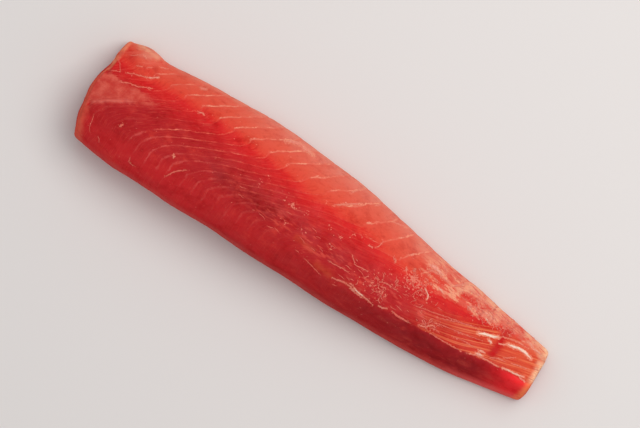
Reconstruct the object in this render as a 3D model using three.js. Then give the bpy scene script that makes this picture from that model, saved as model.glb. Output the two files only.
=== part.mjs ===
// A trimmed tuna loin in one piece: the flesh of a quarter of the fish, skinned, with the dark meat along
// the side cut away and both ends cut across. It lies on the flat face that was cut from the backbone.
// Millimetres, +X from the head end to the tail end, +Y towards the fish's back, +Z up.
// The origin is at the middle of the base.
import * as THREE from "three";

// Driving dimensions
const length = 540;

// The cuts across the ends, seen from above: how far each lies inside the full length, at places across
// from the side (-) to the back (+). lean is how much further the crown is set in than the base, belly is
// how far the middle of the cut face bulges, and round is the radius of its edge.
const headCut = {
  line: [
    [-61, 13.5], [-51, 10.6], [-38, 6], [-26, 4.1], [-15, 1.2], [-5, 0], [5, 1.2], [14, 2.5], [18, 4.2],
    [22, 6.6], [30, 5.8], [40, 5.2], [50, 5.4],
  ],
  lean: 3,
  belly: 2.5,
  round: 4,
};
const tailCut = {
  line: [[-30, 2], [-22, 0.3], [-11, 0], [0, 0.6], [12, 1.7], [30, 3.2]],
  lean: 1.5,
  belly: 1,
  round: 3.5,
};

// How the loin swells and tapers. back and side are the reaches from the middle line to its long edges,
// height is at the crown, and tail is how far the section has changed from the head's form to the tail's.
const girths = [
  { at: 0.0, back: 50.5, side: 61, height: 60, tail: 0 },
  { at: 0.11, back: 56, side: 64.5, height: 72, tail: 0 },
  { at: 0.21, back: 61.3, side: 63.3, height: 77, tail: 0.05 },
  { at: 0.29, back: 65.9, side: 61.5, height: 79, tail: 0.1 },
  { at: 0.42, back: 66.3, side: 60, height: 80, tail: 0.25 },
  { at: 0.57, back: 60.6, side: 58, height: 75, tail: 0.55 },
  { at: 0.73, back: 47.3, side: 53, height: 63, tail: 0.85 },
  { at: 0.86, back: 39.8, side: 45, height: 51, tail: 1 },
  { at: 1.0, back: 29.3, side: 28.6, height: 41, tail: 1 },
];

// The corner posts that a section bends round: across from the side's edge (0) to the back's (1), and up
// from the base (0) to the crown (1).
const headPosts = {
  baseBack: [0.86, 0],
  toe: [1, 0],
  heel: [1, 0.26],
  flank: [0.84, 0.66],
  brow: [0.62, 0.93],
  crown: [0.38, 1.03],
  shoulder: [0.16, 1],
  shoulderSide: [0.03, 0.78],
  side: [0, 0.4],
  foot: [0, 0],
  baseSide: [0.12, 0],
};
const tailPosts = {
  baseBack: [0.86, 0],
  toe: [1, 0],
  heel: [1, 0.24],
  flank: [0.86, 0.57],
  brow: [0.65, 0.83],
  crown: [0.45, 0.96],
  shoulder: [0.3, 1.04],
  shoulderSide: [0.19, 0.86],
  side: [0.05, 0.36],
  foot: [0, 0],
  baseSide: [0.12, 0],
};

// The muscle that stands up as a knob at the head end, the dip behind it and the furrow beside it, and
// the last bulge of the back's edge before the tail. x is counted from the head end.
const mounds = {
  knob: { x: 28, y: 40, rx: 17, ry: 18, lift: 6 },
  dip: { x: 56, y: 50, rx: 13, ry: 16, lift: -2.8 },
  backBulge: { x: 447, y: 40, rx: 14, ry: 14, lift: 1.3 },
  backNick: { x: 470, y: 37, rx: 12, ry: 12, lift: -1.1 },
};
const furrow = { from: [2, 19], to: [62, 30], halfWidth: 5, depth: 4 };
const swell = { lift: 0.7, alongPeriod: 92, acrossPeriod: 61 };
const footHeight = 14; // below this the surface flattens out into the base

// Mesh density
const cornerSteps = 5;
const baseSteps = 3;
const bodyRings = 78;
const roundRings = 4;
const capRings = 3;

const lerp = THREE.MathUtils.lerp;

const girthKeys = ["back", "side", "height", "tail"];
const girthCurve = new THREE.CubicInterpolant(
  girths.map((g) => g.at),
  girths.flatMap((g) => girthKeys.map((key) => g[key])),
  girthKeys.length,
);

function girthAt(share) {
  const values = girthCurve.evaluate(share);
  return Object.fromEntries(girthKeys.map((key, i) => [key, values[i]]));
}

// A closed smooth loop round the posts. It touches the middle of each span between two posts.
function loopRound(tail) {
  const names = Object.keys(headPosts);
  const posts = names.map(
    (name) =>
      new THREE.Vector2(
        lerp(headPosts[name][0], tailPosts[name][0], tail),
        lerp(headPosts[name][1], tailPosts[name][1], tail),
      ),
  );
  return posts.flatMap((post, i) => {
    const before = posts.at(i - 1).clone().lerp(post, 0.5);
    const after = posts[(i + 1) % posts.length].clone().lerp(post, 0.5);
    const steps = names[i].startsWith("base") ? baseSteps : cornerSteps;
    return new THREE.QuadraticBezierCurve(before, post, after).getPoints(steps).slice(0, -1);
  });
}

// The section at a share of the length, fitted to the loin's reaches and height there.
function sectionAt(share) {
  const { back, side, height, tail } = girthAt(share);
  const loop = loopRound(tail);
  const box = new THREE.Box2().setFromPoints(loop);
  const size = box.getSize(new THREE.Vector2());
  return loop.map(
    (p) =>
      new THREE.Vector2(
        lerp(-side, back, (p.x - box.min.x) / size.x),
        (height * (p.y - box.min.y)) / size.y,
      ),
  );
}

// How far an end's cut lies inside the loin's full length, at a place across and up it.
function insetAt(cut, y, z, height) {
  const line = new THREE.CubicInterpolant(
    cut.line.map(([across]) => across),
    cut.line.map(([, inset]) => inset),
    1,
  );
  return line.evaluate(y)[0] + cut.lean * (z / height - 0.5);
}

function moundsAt(x, y) {
  return Object.values(mounds).reduce((sum, { x: midX, y: midY, rx, ry, lift }) => {
    const reach = ((x - midX) / rx) ** 2 + ((y - midY) / ry) ** 2;
    return sum + lift * Math.exp(-(reach ** 2));
  }, 0);
}

function furrowAt(x, y) {
  const from = new THREE.Vector2(...furrow.from);
  const run = new THREE.Vector2(...furrow.to).sub(from);
  const here = new THREE.Vector2(x, y).sub(from);
  const share = THREE.MathUtils.clamp(here.dot(run) / run.lengthSq(), 0, 1);
  const away = here.distanceTo(run.clone().multiplyScalar(share)) / furrow.halfWidth;
  return -furrow.depth * (1 - share ** 2) * Math.exp(-(away ** 2));
}

function swellAt(x, y) {
  const wave = Math.sin((2 * Math.PI * x) / swell.alongPeriod + y / swell.acrossPeriod);
  return swell.lift * wave * Math.cos((2 * Math.PI * y) / swell.acrossPeriod);
}

function liftAt(x, y, z) {
  const clearOfBase = THREE.MathUtils.smoothstep(z, 0, footHeight);
  return clearOfBase * (moundsAt(x, y) + furrowAt(x, y) + swellAt(x, y));
}

// One ring of points: the section at x, drawn in by inset and moved along by shift.
function ringAt(x, inset = 0, shift = 0) {
  const section = sectionAt(x / length);
  const { height } = girthAt(x / length);
  const box = new THREE.Box2().setFromPoints(section);
  const middle = box.getCenter(new THREE.Vector2());
  const half = box.getSize(new THREE.Vector2()).multiplyScalar(0.5);
  return section.map((p) => {
    const outward = p.clone().sub(middle).normalize();
    const y = lerp(p.x, middle.x, inset / half.x);
    const z = lerp(p.y, middle.y, inset / half.y);
    const lift = liftAt(x, p.x, p.y) * (1 - inset / half.y);
    const set = lerp(insetAt(headCut, y, z, height), -insetAt(tailCut, y, z, height), x / length);
    return new THREE.Vector3(x + set + shift, y + outward.x * lift, z + outward.y * lift);
  });
}

// The rings of one end, from near the middle of its bulging cut face to where its rounded edge meets the body.
function endRings(cut, x, inwards) {
  const half = girthAt(x / length).height / 2;
  const face = Array.from({ length: capRings }, (_, i) => {
    const share = (i + 1) / (capRings + 1);
    return ringAt(x, lerp(half, cut.round, share), inwards * cut.belly * share ** 2);
  });
  const edge = Array.from({ length: roundRings }, (_, i) => {
    const angle = ((i / roundRings) * Math.PI) / 2;
    const depth = cut.belly + cut.round * (1 - Math.cos(angle));
    return ringAt(x + inwards * depth, cut.round * (1 - Math.sin(angle)));
  });
  return [...face, ...edge];
}

function loinRings() {
  const first = headCut.belly + headCut.round;
  const last = length - tailCut.belly - tailCut.round;
  const body = Array.from({ length: bodyRings }, (_, i) => ringAt(lerp(first, last, i / (bodyRings - 1))));
  return [...endRings(headCut, 0, 1), ...body, ...endRings(tailCut, length, -1).reverse()];
}

// The triangles that fill a ring seen along +X, as places in the ring, running anticlockwise there.
function fillOf(ring) {
  const outline = ring.map((p) => new THREE.Vector2(p.y, p.z));
  return THREE.ShapeUtils.triangulateShape(outline, []).map(([a, b, c]) =>
    THREE.ShapeUtils.area([outline[a], outline[b], outline[c]]) > 0 ? [a, b, c] : [a, c, b],
  );
}

// A closed skin over the rings, with the cut faces filled in across the first ring and the last.
function skinOver(rings) {
  const round = rings[0].length;
  const points = rings.flat();
  const triangles = [];
  for (let ring = 0; ring < rings.length - 1; ring++) {
    for (let i = 0; i < round; i++) {
      const next = (i + 1) % round;
      const [a, b] = [ring * round + i, ring * round + next];
      const [c, d] = [a + round, b + round];
      triangles.push(a, b, d, a, d, c);
    }
  }
  const last = (rings.length - 1) * round;
  for (const [a, b, c] of fillOf(rings[0])) triangles.push(a, c, b);
  for (const [a, b, c] of fillOf(rings.at(-1))) triangles.push(last + a, last + b, last + c);
  const geometry = new THREE.BufferGeometry().setFromPoints(points);
  geometry.setIndex(triangles);
  return geometry;
}

// Puts the middle of the base at the origin.
function standOnOrigin(geometry) {
  geometry.computeBoundingBox();
  const { min, max } = geometry.boundingBox;
  geometry.translate(-(min.x + max.x) / 2, -(min.y + max.y) / 2, -min.z);
  geometry.computeVertexNormals();
  return geometry;
}

const flesh = new THREE.MeshStandardMaterial({ color: "#bb2a2c", roughness: 0.4, metalness: 0 });
const tunaLoin = new THREE.Mesh(standOnOrigin(skinOver(loinRings())), flesh);
tunaLoin.name = "tuna_loin";

const loin = new THREE.Group();
loin.add(tunaLoin);

export default loin;
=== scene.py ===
# A raw tuna loin, dressed: one skinned quarter of the fish, lying on the face that was cut from the backbone.
# Metres, +X from the head end to the tail end, +Y towards the fish's back, +Z up. The loin's settings give
# places along it as shares of its length, and its other sizes in millimetres.
import math
from types import SimpleNamespace

import bmesh
import bpy
import numpy as np
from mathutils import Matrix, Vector, noise


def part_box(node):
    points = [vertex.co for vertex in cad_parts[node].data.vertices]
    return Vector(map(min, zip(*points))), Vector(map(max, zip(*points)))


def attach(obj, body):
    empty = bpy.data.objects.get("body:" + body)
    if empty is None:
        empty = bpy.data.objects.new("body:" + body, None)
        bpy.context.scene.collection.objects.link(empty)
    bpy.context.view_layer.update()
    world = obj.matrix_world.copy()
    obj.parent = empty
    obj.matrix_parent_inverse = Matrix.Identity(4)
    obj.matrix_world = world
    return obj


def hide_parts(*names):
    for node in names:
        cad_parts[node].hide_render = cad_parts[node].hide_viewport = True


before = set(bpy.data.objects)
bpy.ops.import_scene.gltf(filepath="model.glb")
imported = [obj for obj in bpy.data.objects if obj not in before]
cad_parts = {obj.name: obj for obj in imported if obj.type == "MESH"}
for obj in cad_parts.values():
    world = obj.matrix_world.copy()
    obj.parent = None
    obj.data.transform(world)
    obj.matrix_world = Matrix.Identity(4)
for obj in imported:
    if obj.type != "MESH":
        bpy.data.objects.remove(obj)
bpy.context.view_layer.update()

mm = 0.001
low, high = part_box("tuna_loin")
length = (high.x - low.x) / mm
stage = bpy.context.scene


def link(name, data):
    thing = bpy.data.objects.new(name, data)
    stage.collection.objects.link(thing)
    return thing


def settle(piece):
    # the piece as its modifiers leave it, as a plain mesh
    graph = bpy.context.evaluated_depsgraph_get()
    plain = bpy.data.meshes.new_from_object(piece.evaluated_get(graph))
    piece.modifiers.clear()
    piece.data = plain
    plain.name = piece.name
    return piece


def ease(start, end, value):
    # 0 before start and 1 after end, with a soft turn at both
    share = np.clip((value - start) / (end - start), 0, 1)
    return share * share * (3 - 2 * share)


def bell(away, reach):
    return np.exp(-((away / reach) ** 2))


def curveThrough(stations, blur=0.0, steps=600):
    # a function of one number through given stations, with its corners rounded over blur
    at, value = np.array(stations, float).T
    fine = np.linspace(at[0] - blur, at[-1] + blur, steps)
    level = np.interp(fine, at, value)
    reach = int(blur / (fine[1] - fine[0]) / 2)
    if reach:
        kernel = np.hanning(2 * reach + 3)[1:-1]
        padded = np.pad(level, reach, mode="reflect", reflect_type="odd")
        level = np.convolve(padded, kernel / kernel.sum(), mode="valid")
    return lambda x: np.interp(x, fine, level)


def lumps(points, size, seed=0):
    # smooth noise from about -1 to 1 at points in mm, with lumps of about that size in mm
    shift = Vector((17.3, 5.1, 9.7)) * (seed + 1)
    scaled = np.asarray(points) / np.asarray(size)
    return np.array([noise.noise(Vector(point) + shift) for point in scaled])


def srgb(red, green, blue):
    # a screen colour, 0 to 255, as the linear colour that shaders take
    def linear(level):
        level /= 255
        return level / 12.92 if level <= 0.04045 else ((level + 0.055) / 1.055) ** 2.4

    return (linear(red), linear(green), linear(blue), 1)


class Wire:
    # one socket of a node tree, with the operators that the trees here use
    def __init__(self, graph, socket):
        self.graph = graph
        self.socket = socket

    def maths(self, operation, *others, clamp=False):
        return self.graph.put("ShaderNodeMath", {"operation": operation, "use_clamp": clamp}, self, *others)

    def __add__(self, other):
        return self.maths("ADD", other)

    def __sub__(self, other):
        return self.maths("SUBTRACT", other)

    def __rsub__(self, other):
        return self.maths("MULTIPLY", -1) + other

    def __mul__(self, other):
        return self.maths("MULTIPLY", other)

    def __truediv__(self, other):
        return self.maths("DIVIDE", other)

    __radd__ = __add__
    __rmul__ = __mul__

    def clamped(self):
        return self.maths("ADD", 0, clamp=True)

    def between(self, start, end):
        # 0 at start and 1 at end, eased and held outside them
        settings = {"interpolation_type": "SMOOTHSTEP"}
        return self.graph.put("ShaderNodeMapRange", settings, Value=self, FromMin=start, FromMax=end)


class Graph:
    # a node tree whose nodes are made in the order in which the expressions run
    def __init__(self, tree):
        self.nodes = tree.nodes
        self.links = tree.links

    def put(self, kind, settings=None, *inputs, give=0, **named):
        # a node with its settings, and values or links for its inputs, in order or by name without spaces
        node = self.nodes.new(kind)
        for key, setting in (settings or {}).items():
            setattr(node, key, setting)
        for key, value in {**dict(enumerate(inputs)), **named}.items():
            self.feed(self.socketOf(node.inputs, key), value)
        return Wire(self, self.socketOf(node.outputs, give))

    def socketOf(self, sockets, key):
        enabled = [socket for socket in sockets if socket.enabled]
        if isinstance(key, int):
            return enabled[key]
        return next(socket for socket in enabled if key in (socket.name.replace(" ", ""), socket.identifier))

    def feed(self, socket, value):
        if isinstance(value, Wire):
            self.links.new(value.socket, socket)
        else:
            socket.default_value = value

    def vector(self, x, y, z):
        return self.put("ShaderNodeCombineXYZ", None, x, y, z)

    def grain(self, where, scale, detail=2.0, rough=0.5, give="Fac"):
        values = {"Vector": where, "Scale": scale, "Detail": detail, "Roughness": rough}
        return self.put("ShaderNodeTexNoise", give=give, **values)


class Growth(Graph):
    # a Geometry Nodes tree with named inputs, run once on a piece that lies on the flesh
    kinds = {
        int: "NodeSocketInt",
        float: "NodeSocketFloat",
        bpy.types.Object: "NodeSocketObject",
        bpy.types.Material: "NodeSocketMaterial",
    }

    def __init__(self, name, flesh, finish, sizes):
        self.tree = bpy.data.node_groups.new(name, "GeometryNodeTree")
        self.tree.is_modifier = True
        super().__init__(self.tree)
        face = self.tree.interface
        for end in ("OUTPUT", "INPUT"):
            face.new_socket("Geometry", in_out=end, socket_type="NodeSocketGeometry")
        self.values = {}
        for key, value in {"Flesh": flesh, "Finish": finish, **sizes}.items():
            socket = face.new_socket(key, in_out="INPUT", socket_type=self.kinds[type(value)])
            self.values[socket.identifier] = value
        self.entry = self.nodes.new("NodeGroupInput")
        self.exit = self.nodes.new("NodeGroupOutput")
        self.skin = self.put("GeometryNodeObjectInfo", give="Geometry", Object=self.size("Flesh"))

    def size(self, name):
        return Wire(self, self.entry.outputs[name])

    def place(self):
        return self.put("GeometryNodeInputPosition")

    def normal(self):
        return self.put("GeometryNodeInputNormal")

    def named(self, name):
        return self.put("GeometryNodeInputNamedAttribute", {"data_type": "FLOAT"}, Name=name)

    def arrows(self, operation, *arrows, **others):
        # vector maths
        return self.put("ShaderNodeVectorMath", {"operation": operation}, *arrows, **others)

    def stray(self, scale, reach):
        # a push to any side by up to about reach, in lumps of about 1 / scale metres
        push = self.arrows("SUBTRACT", self.grain(self.place(), scale, give="Color"), (0.5, 0.5, 0.5))
        return self.arrows("SCALE", push, Scale=reach * 2)

    def chance(self, least, most, seed):
        values = {"Min_001": least, "Max_001": most, "Seed": seed}
        return self.put("FunctionNodeRandomValue", {"data_type": "FLOAT"}, give="Value_001", **values)

    def onSkin(self, value):
        # the place or the normal of the skin nearest to here
        values = {"Mesh": self.skin, "Value": value, "SamplePosition": self.place()}
        return self.put("GeometryNodeSampleNearestSurface", {"data_type": "FLOAT_VECTOR"}, **values)

    def scatter(self, cover):
        # points on the skin, as thick as its cover there, and the skin's normals at them
        values = {"Mesh": self.skin, "Density": cover * self.size("Density"), "Seed": self.size("Seed")}
        points = self.put("GeometryNodeDistributePointsOnFaces", give="Points", **values)
        return points, Wire(self, points.socket.node.outputs["Normal"])

    def sown(self, bit, spots, size, up, **spin):
        # a copy of a bit at each spot, with its Z along up
        facing = self.put("FunctionNodeAlignRotationToVector", {"axis": "Z"}, Vector=up, **spin)
        values = {"Points": spots, "Instance": bit, "Rotation": facing, "Scale": size}
        bits = self.put("GeometryNodeInstanceOnPoints", **values)
        return self.put("GeometryNodeRealizeInstances", Geometry=bits)

    def moved(self, shape, **where):
        # a shape with its points at a Position or pushed by an Offset
        return self.put("GeometryNodeSetPosition", Geometry=shape, **where)

    def swept(self, path, radius, flatness, sides):
        # a path made a flattened strand that lies on the skin
        up = self.onSkin(self.normal())
        across = self.arrows("CROSS_PRODUCT", up, self.put("GeometryNodeInputTangent"))
        path = self.put("GeometryNodeSetCurveNormal", {"mode": "FREE"}, Curve=path, Normal=across)
        ring = self.put("GeometryNodeCurvePrimitiveCircle", {"mode": "RADIUS"}, Resolution=sides, Radius=1.0)
        ring = self.put("GeometryNodeTransform", Geometry=ring, Scale=self.vector(1.0, flatness, 1.0))
        return self.put("GeometryNodeCurveToMesh", Curve=path, ProfileCurve=ring, Scale=radius, FillCaps=True)

    def paled(self, shape, pale):
        settings = {"data_type": "FLOAT", "domain": "POINT"}
        return self.put("GeometryNodeStoreNamedAttribute", settings, Geometry=shape, Name="pale", Value=pale)

    def run(self, piece, shape):
        shape = self.put("GeometryNodeRealizeInstances", Geometry=shape)
        shape = self.put("GeometryNodeSetShadeSmooth", Geometry=shape)
        shape = self.put("GeometryNodeSetMaterial", Geometry=shape, Material=self.size("Finish"))
        self.feed(self.exit.inputs[0], shape)
        modifier = piece.modifiers.new(self.tree.name, "NODES")
        modifier.node_group = self.tree
        for identifier, value in self.values.items():
            modifier[identifier] = value
        return settle(piece)


class Finish(Graph):
    # a material
    def __init__(self, name):
        self.material = bpy.data.materials.new(name)
        self.material.use_nodes = True
        super().__init__(self.material.node_tree)
        self.shader = self.nodes["Principled BSDF"]

    def surface(self, **values):
        # constants and links on the Principled node's own inputs, by name without spaces
        for key, value in values.items():
            self.feed(self.socketOf(self.shader.inputs, key), value)

    def field(self, name, give="Fac"):
        settings = {"attribute_name": name, "attribute_type": "GEOMETRY"}
        return self.put("ShaderNodeAttribute", settings, give=give)

    def places(self, stretch=(1, 1, 1)):
        here = self.put("ShaderNodeTexCoord", give="Object")
        return self.put("ShaderNodeMapping", Vector=here, Scale=stretch)

    def blend(self, amount, first, second, how="MIX"):
        settings = {"data_type": "RGBA", "blend_type": how}
        values = {"Factor_Float": amount, "A_Color": first, "B_Color": second}
        return self.put("ShaderNodeMix", settings, give="Result_Color", **values)

    def relief(self, height, distance, strength):
        return self.put("ShaderNodeBump", Height=height, Distance=distance, Strength=strength)


# The camera looks straight down, turned so that the loin lies across the picture with its tail low.
shot = {
    "turn": math.radians(34.3),
    "fill": 0.836,  # the loin's length as a share of the picture's width
    "height": 6,  # of the camera above the floor
    "level": 0.02,  # the height at which the loin's outline is seen
    "aim": (-0.0043, 0.0131),  # from the loin's middle to the middle of the picture
}


def placeCamera():
    data = bpy.data.cameras.new("camera")
    data.sensor_width = 36
    data.lens = data.sensor_width * (shot["height"] - shot["level"]) * shot["fill"] / (length * mm)
    camera = link("camera", data)
    camera.location = (*shot["aim"], shot["height"])
    camera.rotation_euler = (0, 0, shot["turn"])
    stage.camera = camera


room = {
    "floor": srgb(226, 220, 217),
    "floorSize": 8,
    "floorGap": 0.2 * mm,  # under the loin
    "ambient": (0.96, 0.98, 1.0, 1),
    "ambientStrength": 0.6,
}

lamps = {
    # place and size in metres, power in watts
    "window": {"place": (0.5, 1.0, 2.0), "size": (1.8, 1.4), "power": 28, "colour": (1.0, 0.985, 0.97)},
}


def layFloor():
    half, level = room["floorSize"] / 2, low.z - room["floorGap"]
    mesh = bpy.data.meshes.new("floor")
    corners = [(x * half, y * half, level) for x, y in ((-1, -1), (1, -1), (1, 1), (-1, 1))]
    mesh.from_pydata(corners, [], [(0, 1, 2, 3)])
    paint = Finish("floor")
    paint.surface(BaseColor=room["floor"], Roughness=0.8, SpecularIORLevel=0.2)
    mesh.materials.append(paint.material)
    link("floor", mesh)


def hangLamps():
    for name, lamp in lamps.items():
        data = bpy.data.lights.new(name, "AREA")
        data.shape = "RECTANGLE"
        data.size, data.size_y = lamp["size"]
        data.energy = lamp["power"]
        data.color = lamp["colour"]
        light = link(name, data)
        light.location = lamp["place"]
        light.rotation_euler = (-Vector(lamp["place"])).to_track_quat("-Z", "Y").to_euler()
    world = bpy.data.worlds.new("room")
    world.use_nodes = True
    back = world.node_tree.nodes["Background"]
    back.inputs["Color"].default_value = room["ambient"]
    back.inputs["Strength"].default_value = room["ambientStrength"]
    stage.world = world
    stage.view_settings.view_transform = "Standard"


placeCamera()
layFloor()
hangLamps()
print("camera, floor and light are up")


# The muscle is a stack of cones, nested one in the next round an axis below the ridge, with a pale
# membrane between each two. Every membrane is counted, and shows on the skinned top as a curved line
# from its tip, over the axis, to its kink, where it turns up towards the back.
segments = {
    "axis": [(0, -40), (0.35, -40), (0.55, -34), (0.71, -29), (0.8, -24), (0.885, -21), (1, -14)],  # y
    "axisUp": 0.45,  # of the height
    "flatten": 0.45,  # of the cones' reach up and down
    "kink": [(0, 33), (0.5, 33), (0.62, 22), (0.7, 17), (1, 14)],  # y
    # where on the loin's length the counted membranes have their tips and their kinks
    "tips": [
        (-14, -0.42), (1, 0.04), (3, 0.125), (4, 0.143), (6, 0.196), (7, 0.213), (8, 0.25), (11, 0.32),
        (16, 0.45), (26, 0.68),
    ],
    "kinks": [
        (-14, -0.34), (-3, 0.056), (0, 0.164), (2, 0.238), (3, 0.272), (6, 0.391), (8, 0.482), (9, 0.522),
        (10, 0.574), (12, 0.662), (20, 1.03), (26, 1.3),
    ],
    # the line's way from its tip (0) to its kink (1)
    "bend": [
        (0, 0), (0.07, 0), (0.19, 0.07), (0.3, 0.18), (0.5, 0.43), (0.69, 0.69), (0.81, 0.87), (0.9, 0.96),
        (1, 1),
    ],
    # how far a line leans towards the tail beyond its kink, in mm for each mm outwards
    "lean": [(0, 1.45), (0.45, 1.45), (0.62, 0.9), (1, 0.9)],
    "upright": 3.5,  # mm that it climbs straight at the kink
    "stray": 0.1,  # of a segment
    # how clearly the counted lines show at their tips, on the way, at the kink and beyond it
    "shows": {
        "tip": [
            (-3, 0), (1, 0.2), (2, 0.1), (3, 0.45), (4, 0.5), (5, 0.8), (7, 0.9), (8, 0.6), (11, 0.5),
            (14, 0.3), (17, 0),
        ],
        "run": [
            (-3, 0.4), (0, 0.5), (1, 0.3), (2, 0.25), (3, 0.9), (4, 0.85), (5, 0.6), (6, 0.45), (8, 0.4),
            (11, 0.3), (14, 0),
        ],
        "kink": [
            (-3, 0.3), (-1, 0.7), (0, 0.9), (1, 0.6), (2, 0.9), (5, 0.75), (9, 0.7), (10, 0.4), (11, 1),
            (12, 0.7), (13, 0.4), (15, 0),
        ],
        "rise": [(-3, 0.7), (0, 1), (2, 1.1), (10, 1.2), (13, 0.9), (16, 0.3)],
    },
}

loin = {
    # y of the lines that part its zones
    "ridge": [
        (0, -44), (0.39, -42), (0.55, -35), (0.66, -31), (0.71, -28), (0.78, -24.5), (0.84, -22.5),
        (0.875, -18), (0.9, -15), (0.93, -12.5), (0.97, -9.5), (1, -9),
    ],
    "paleEdge": [
        (0, 29), (0.045, 27), (0.066, 23), (0.09, 26), (0.12, 28.5), (0.22, 31.5), (0.26, 31.5), (0.3, 29.5),
        (0.37, 26.5), (0.45, 23.5), (0.49, 21.5), (0.56, 20.5), (0.6, 19), (0.635, 15.5), (0.67, 13),
        (0.71, 11), (0.75, 15), (0.82, 16), (0.9, 19), (1, 20),
    ],
    "fanEdge": [(0.6, -22), (0.725, -1), (0.8, 4), (0.875, 16), (0.91, 21), (1, 27)],
    "veilLow": [
        (0, -30), (0.022, -27), (0.036, -21), (0.054, -14), (0.073, -7), (0.092, -1.5), (0.11, 2), (0.145, 8),
    ],
    "veilHigh": [(0, 16), (0.02, 14), (0.045, 11.5), (0.08, 14), (0.105, 15.5), (0.13, 14), (0.15, 12)],
    "jag": 6,  # mm that the pale edge steps at each membrane
    # where shreds lie on the red meat: the y of their middle and how far they reach to both sides
    "strewnLine": [(0.2, -12), (0.4, -16), (0.62, -16), (0.72, -12), (0.9, -4)],
    "strewnReach": [(0.2, 10), (0.4, 12), (0.6, 13), (0.75, 12), (0.9, 8)],
    "fanTilt": 2.4,  # of the tail's sinews across their fan, for its whole width over the whole length
    "murk": (0.4, -12, 54, 14),  # the dark middle: share, y and its reaches along and across
}

# How finely the loin's own outline is read, in shares of the length along it and mm across its ends.
reading = {"stations": 30, "slice": 0.02, "ends": 0.04, "strips": range(-70, 71, 2), "strip": 2, "blur": 4}


class Fields:
    # every vertex's place in mm, x from the head end and z from the base, and the loin's own outline there
    def __init__(self, mesh):
        flat = np.empty(len(mesh.vertices) * 3)
        mesh.vertices.foreach_get("co", flat)
        self.point = (flat.reshape(-1, 3) - (low.x, 0, low.z)) / mm
        mesh.vertex_normals.foreach_get("vector", flat)
        self.normal = flat.reshape(-1, 3)
        self.x, self.y, self.z = self.point.T
        self.share = np.clip(self.x / length, 0, 1)
        self.measureAlong()
        self.measureEnds()

    def measureAlong(self):
        stations = np.linspace(0.01, 0.99, reading["stations"])
        slices = [(share, np.abs(self.share - share) < reading["slice"]) for share in stations]

        def along(blur, value):
            return curveThrough([(share, value(share, cut)) for share, cut in slices], blur)

        def reachOf(line):
            def value(share, cut):
                return self.away(share, line(share), self.topAt(cut, line(share)))

            return along(0.06, value)

        self.crown = along(0.05, lambda share, cut: self.z[cut].max())
        self.back = along(0.04, lambda share, cut: self.y[cut].max())
        self.side = along(0.04, lambda share, cut: self.y[cut].min())
        self.axis = curveThrough(segments["axis"], 0.06)
        self.tipAway = reachOf(self.axis)
        self.kinkAway = reachOf(curveThrough(segments["kink"], 0.06))

    def measureEnds(self):
        strips = [(y, np.abs(self.y - y) < reading["strip"]) for y in reading["strips"]]
        held = [(y, strip) for y, strip in strips if strip.any()]

        def across(stations):
            return curveThrough(stations, reading["blur"])(self.y)

        def topOf(end):
            return across([(y, max(self.z[strip & end], default=0)) for y, strip in strips])

        self.fromHead = self.x - across([(y, self.x[strip].min()) for y, strip in held])
        self.toTail = across([(y, self.x[strip].max()) for y, strip in held]) - self.x
        tops = topOf(self.share < reading["ends"]), topOf(self.share > 1 - reading["ends"])
        self.drop = np.where(self.share < 0.5, *tops) - self.z  # from the top edge of the nearer end

    def topAt(self, cut, y):
        # the surface's height in a slice
        on = cut & (self.normal[:, 2] > 0)
        order = np.argsort(self.y[on])
        return np.interp(y, self.y[on][order], self.z[on][order])

    def away(self, share, y, z):
        # how far a place lies from the axis of the cones
        up = segments["flatten"] * (z - segments["axisUp"] * self.crown(share))
        return np.hypot(y - self.axis(share), up)

    def line(self, name, blur):
        return curveThrough(loin[name], blur)(self.share)

    def span(self, name, nudge=0.0):
        return ease(*spans[name], self.share + nudge)

    def stroke(self, path, reach, rag=0.0):
        # a soft line along a path on the top, 1 in its middle
        points = [np.array((share * length, y)) for share, y in path]
        here = self.point[:, :2]
        nearest = np.full(len(here), 1e9)
        for start, end in zip(points[:-1], points[1:]):
            run = end - start
            share = np.clip((here - start) @ run / (run @ run), 0, 1)
            nearest = np.minimum(nearest, np.linalg.norm(here - start - share[:, None] * run, axis=1))
        return bell(nearest * (1 + rag), reach)

    def spot(self, at, y, reachX, reachY):
        return np.exp(-(((self.x - at * length) / reachX) ** 2) - ((self.y - y) / reachY) ** 2)

    def spots(self, places):
        return sum(amount * self.spot(*place) for amount, *place in places)


bendOf = curveThrough(segments["bend"], 0.06)
tipOf = curveThrough(segments["tips"], 1)
kinkOf = curveThrough(segments["kinks"], 1)


def segmentCount(fields, x, y, z):
    # which segment a place lies in, a whole number on each membrane, and its way from tip to kink
    share = x / length
    away = fields.away(share, y, z)
    first, last = fields.tipAway(share), fields.kinkAway(share)
    way = (away - first) / (last - first)
    held = np.clip(way, 0, 1)
    rise = bendOf(held) + (held - bendOf(held)) * ease(0.35, 0.65, share)
    beyond = curveThrough(segments["lean"], 0.1)(share) * np.maximum(0, away - last - segments["upright"])
    target = (x - beyond) / length
    few, many = (np.full(len(x), float(segments["tips"][end][0])) for end in (0, -1))
    for _ in range(18):  # halves the range until the count is sure to a thousandth
        count = (few + many) / 2
        short = tipOf(count) + (kinkOf(count) - tipOf(count)) * rise < target
        few = np.where(short, count, few)
        many = np.where(short, many, count)
    return (few + many) / 2, way


def segmentField(fields):
    x, y, z = fields.x, fields.y, fields.z
    count, way = segmentCount(fields, x, y, z)
    slope = [segmentCount(fields, x + dx, y + dy, z + dz)[0] - count for dx, dy, dz in np.eye(3)]
    slope = np.array(slope).T  # for a step of 1 mm
    slope -= (slope * fields.normal).sum(1)[:, None] * fields.normal
    crowding = np.clip(np.linalg.norm(slope, axis=1), 0.01, 1)  # membranes for each mm of surface
    stray = lumps(fields.point, 30, 3) + 0.5 * lumps(fields.point, 10, 4)
    return count + segments["stray"] * stray, way, crowding


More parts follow.
